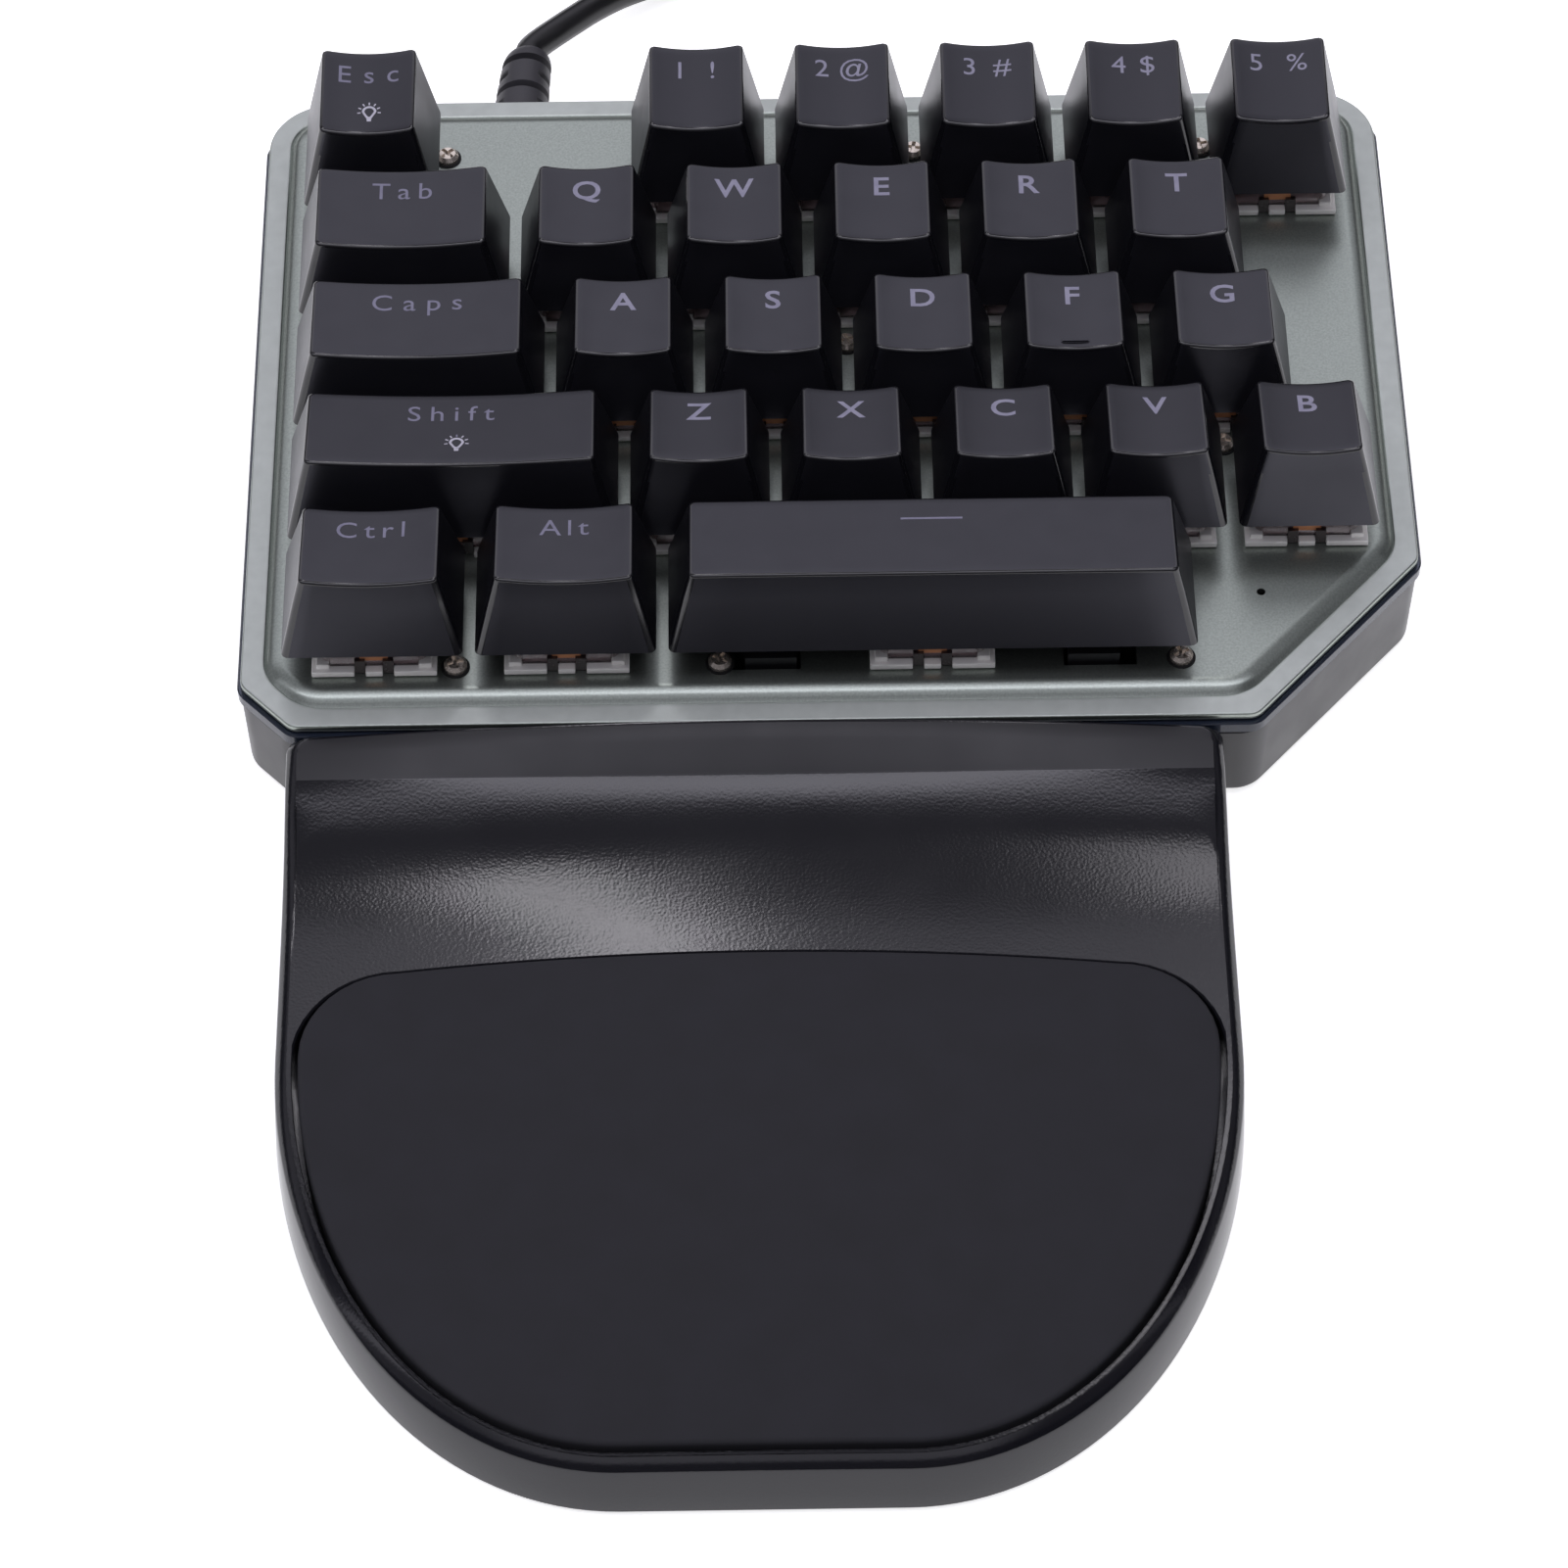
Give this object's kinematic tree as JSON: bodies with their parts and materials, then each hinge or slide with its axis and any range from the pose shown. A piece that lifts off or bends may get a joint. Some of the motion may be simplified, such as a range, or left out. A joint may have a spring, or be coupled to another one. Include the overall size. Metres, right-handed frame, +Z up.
{
  "type": "gaming keypad",
  "caption": "Left-hand mechanical gaming keypad: sculpted keys on a metal plate, slim case, detachable padded wrist rest and a coiled USB lead.",
  "frame": {"origin": "centre of the footprint of keypad and wrist rest together, at desk height; the lead is left out", "axes": "+X to the user's right, +Y away from the user towards the lead, +Z up; keys face +Z"},
  "size_m": [0.1486, 0.3314, 0.0342],
  "materials": {
    "keycap_plastic": "satin moulded",
    "plate_metal": "satin, fine grain",
    "switch_plastic": "glossy moulded",
    "case_plastic": "satin moulded",
    "clear_acrylic": "polished, dark clear",
    "plated_steel": "bright plated",
    "stabiliser_plastic": "moulded",
    "foot_rubber": "matt",
    "rest_plastic": "fine textured, satin",
    "pad_skin": "matt soft skin",
    "lead_jacket": "satin",
    "tie_fabric": "woven hook and loop"
  },
  "bodies": {
    "keypad": {"top_plate": "plate_metal", "switch_board": "switch_plastic", "bottom_case": "case_plastic", "light_strip": "clear_acrylic", "plate_screw_1": "plated_steel", "plate_screw_2": "plated_steel", "plate_screw_3": "plated_steel", "plate_screw_4": "plated_steel", "plate_screw_5": "plated_steel", "plate_screw_6": "plated_steel", "plate_screw_7": "plated_steel", "plate_screw_8": "plated_steel", "stabiliser_housing_space_left": "stabiliser_plastic", "stabiliser_housing_space_right": "stabiliser_plastic", "stabiliser_housing_shift_left": "stabiliser_plastic", "stabiliser_housing_shift_right": "stabiliser_plastic", "foot_front_left": "foot_rubber", "foot_front_right": "foot_rubber", "foot_rear_right": "foot_rubber", "foot_rear_left": "foot_rubber", "cable_strain_relief": "lead_jacket", "cable": "lead_jacket", "cable_coil": "lead_jacket", "cable_tie": "tie_fabric", "usb_plug_body": "lead_jacket", "usb_plug_shell": "plated_steel"},
    "key_ctrl": {"keycap_ctrl": "keycap_plastic"},
    "key_alt": {"keycap_alt": "keycap_plastic"},
    "key_space": {"keycap_space": "keycap_plastic"},
    "key_shift": {"keycap_shift": "keycap_plastic"},
    "key_z": {"keycap_z": "keycap_plastic"},
    "key_x": {"keycap_x": "keycap_plastic"},
    "key_c": {"keycap_c": "keycap_plastic"},
    "key_v": {"keycap_v": "keycap_plastic"},
    "key_b": {"keycap_b": "keycap_plastic"},
    "key_caps": {"keycap_caps": "keycap_plastic"},
    "key_a": {"keycap_a": "keycap_plastic"},
    "key_s": {"keycap_s": "keycap_plastic"},
    "key_d": {"keycap_d": "keycap_plastic"},
    "key_f": {"keycap_f": "keycap_plastic"},
    "key_g": {"keycap_g": "keycap_plastic"},
    "key_tab": {"keycap_tab": "keycap_plastic"},
    "key_q": {"keycap_q": "keycap_plastic"},
    "key_w": {"keycap_w": "keycap_plastic"},
    "key_e": {"keycap_e": "keycap_plastic"},
    "key_r": {"keycap_r": "keycap_plastic"},
    "key_t": {"keycap_t": "keycap_plastic"},
    "key_esc": {"keycap_esc": "keycap_plastic"},
    "key_1": {"keycap_1": "keycap_plastic"},
    "key_2": {"keycap_2": "keycap_plastic"},
    "key_3": {"keycap_3": "keycap_plastic"},
    "key_4": {"keycap_4": "keycap_plastic"},
    "key_5": {"keycap_5": "keycap_plastic"},
    "space_wire": {"stabiliser_wire_space": "plated_steel"},
    "shift_wire": {"stabiliser_wire_shift": "plated_steel"},
    "wrist_rest": {"wrist_rest_shell": "rest_plastic", "wrist_rest_base": "rest_plastic", "wrist_pad": "pad_skin", "rest_foot_left": "foot_rubber", "rest_foot_right": "foot_rubber"}
  },
  "joints": [
    {"name": "press_ctrl", "type": "slide", "parent": "keypad", "child": "key_ctrl", "axis": [0, 0, -1], "range_m": [0, 0.004], "stiffness_N_per_m": 100, "springref_m": -0.0025},
    {"name": "press_alt", "type": "slide", "parent": "keypad", "child": "key_alt", "axis": [0, 0, -1], "range_m": [0, 0.004], "stiffness_N_per_m": 100, "springref_m": -0.0025},
    {"name": "press_space", "type": "slide", "parent": "keypad", "child": "key_space", "axis": [0, 0, -1], "range_m": [0, 0.004], "stiffness_N_per_m": 100, "springref_m": -0.0025},
    {"name": "press_shift", "type": "slide", "parent": "keypad", "child": "key_shift", "axis": [0, 0, -1], "range_m": [0, 0.004], "stiffness_N_per_m": 100, "springref_m": -0.0025},
    {"name": "press_z", "type": "slide", "parent": "keypad", "child": "key_z", "axis": [0, 0, -1], "range_m": [0, 0.004], "stiffness_N_per_m": 100, "springref_m": -0.0025},
    {"name": "press_x", "type": "slide", "parent": "keypad", "child": "key_x", "axis": [0, 0, -1], "range_m": [0, 0.004], "stiffness_N_per_m": 100, "springref_m": -0.0025},
    {"name": "press_c", "type": "slide", "parent": "keypad", "child": "key_c", "axis": [0, 0, -1], "range_m": [0, 0.004], "stiffness_N_per_m": 100, "springref_m": -0.0025},
    {"name": "press_v", "type": "slide", "parent": "keypad", "child": "key_v", "axis": [0, 0, -1], "range_m": [0, 0.004], "stiffness_N_per_m": 100, "springref_m": -0.0025},
    {"name": "press_b", "type": "slide", "parent": "keypad", "child": "key_b", "axis": [0, 0, -1], "range_m": [0, 0.004], "stiffness_N_per_m": 100, "springref_m": -0.0025},
    {"name": "press_caps", "type": "slide", "parent": "keypad", "child": "key_caps", "axis": [0, 0, -1], "range_m": [0, 0.004], "stiffness_N_per_m": 100, "springref_m": -0.0025},
    {"name": "press_a", "type": "slide", "parent": "keypad", "child": "key_a", "axis": [0, 0, -1], "range_m": [0, 0.004], "stiffness_N_per_m": 100, "springref_m": -0.0025},
    {"name": "press_s", "type": "slide", "parent": "keypad", "child": "key_s", "axis": [0, 0, -1], "range_m": [0, 0.004], "stiffness_N_per_m": 100, "springref_m": -0.0025},
    {"name": "press_d", "type": "slide", "parent": "keypad", "child": "key_d", "axis": [0, 0, -1], "range_m": [0, 0.004], "stiffness_N_per_m": 100, "springref_m": -0.0025},
    {"name": "press_f", "type": "slide", "parent": "keypad", "child": "key_f", "axis": [0, 0, -1], "range_m": [0, 0.004], "stiffness_N_per_m": 100, "springref_m": -0.0025},
    {"name": "press_g", "type": "slide", "parent": "keypad", "child": "key_g", "axis": [0, 0, -1], "range_m": [0, 0.004], "stiffness_N_per_m": 100, "springref_m": -0.0025},
    {"name": "press_tab", "type": "slide", "parent": "keypad", "child": "key_tab", "axis": [0, 0, -1], "range_m": [0, 0.004], "stiffness_N_per_m": 100, "springref_m": -0.0025},
    {"name": "press_q", "type": "slide", "parent": "keypad", "child": "key_q", "axis": [0, 0, -1], "range_m": [0, 0.004], "stiffness_N_per_m": 100, "springref_m": -0.0025},
    {"name": "press_w", "type": "slide", "parent": "keypad", "child": "key_w", "axis": [0, 0, -1], "range_m": [0, 0.004], "stiffness_N_per_m": 100, "springref_m": -0.0025},
    {"name": "press_e", "type": "slide", "parent": "keypad", "child": "key_e", "axis": [0, 0, -1], "range_m": [0, 0.004], "stiffness_N_per_m": 100, "springref_m": -0.0025},
    {"name": "press_r", "type": "slide", "parent": "keypad", "child": "key_r", "axis": [0, 0, -1], "range_m": [0, 0.004], "stiffness_N_per_m": 100, "springref_m": -0.0025},
    {"name": "press_t", "type": "slide", "parent": "keypad", "child": "key_t", "axis": [0, 0, -1], "range_m": [0, 0.004], "stiffness_N_per_m": 100, "springref_m": -0.0025},
    {"name": "press_esc", "type": "slide", "parent": "keypad", "child": "key_esc", "axis": [0, 0, -1], "range_m": [0, 0.004], "stiffness_N_per_m": 100, "springref_m": -0.0025},
    {"name": "press_1", "type": "slide", "parent": "keypad", "child": "key_1", "axis": [0, 0, -1], "range_m": [0, 0.004], "stiffness_N_per_m": 100, "springref_m": -0.0025},
    {"name": "press_2", "type": "slide", "parent": "keypad", "child": "key_2", "axis": [0, 0, -1], "range_m": [0, 0.004], "stiffness_N_per_m": 100, "springref_m": -0.0025},
    {"name": "press_3", "type": "slide", "parent": "keypad", "child": "key_3", "axis": [0, 0, -1], "range_m": [0, 0.004], "stiffness_N_per_m": 100, "springref_m": -0.0025},
    {"name": "press_4", "type": "slide", "parent": "keypad", "child": "key_4", "axis": [0, 0, -1], "range_m": [0, 0.004], "stiffness_N_per_m": 100, "springref_m": -0.0025},
    {"name": "press_5", "type": "slide", "parent": "keypad", "child": "key_5", "axis": [0, 0, -1], "range_m": [0, 0.004], "stiffness_N_per_m": 100, "springref_m": -0.0025},
    {"name": "turn_space_wire", "type": "hinge", "parent": "keypad", "child": "space_wire", "pos_m": [0.01203, 0.02035, 0.0147], "axis": [1, 0, 0], "range_deg": [0, 28]},
    {"name": "turn_shift_wire", "type": "hinge", "parent": "keypad", "child": "shift_wire", "pos_m": [-0.0475, 0.0394, 0.0147], "axis": [1, 0, 0], "range_deg": [0, 28]},
    {"name": "pull_wrist_rest", "type": "slide", "parent": "keypad", "child": "wrist_rest", "axis": [0, -1, 0], "range_m": [0, 0.025]}
  ],
  "couplings": [
    {"joint": "turn_space_wire", "follows": "press_space", "rad_per_m": 120},
    {"joint": "turn_shift_wire", "follows": "press_shift", "rad_per_m": 120}
  ]
}
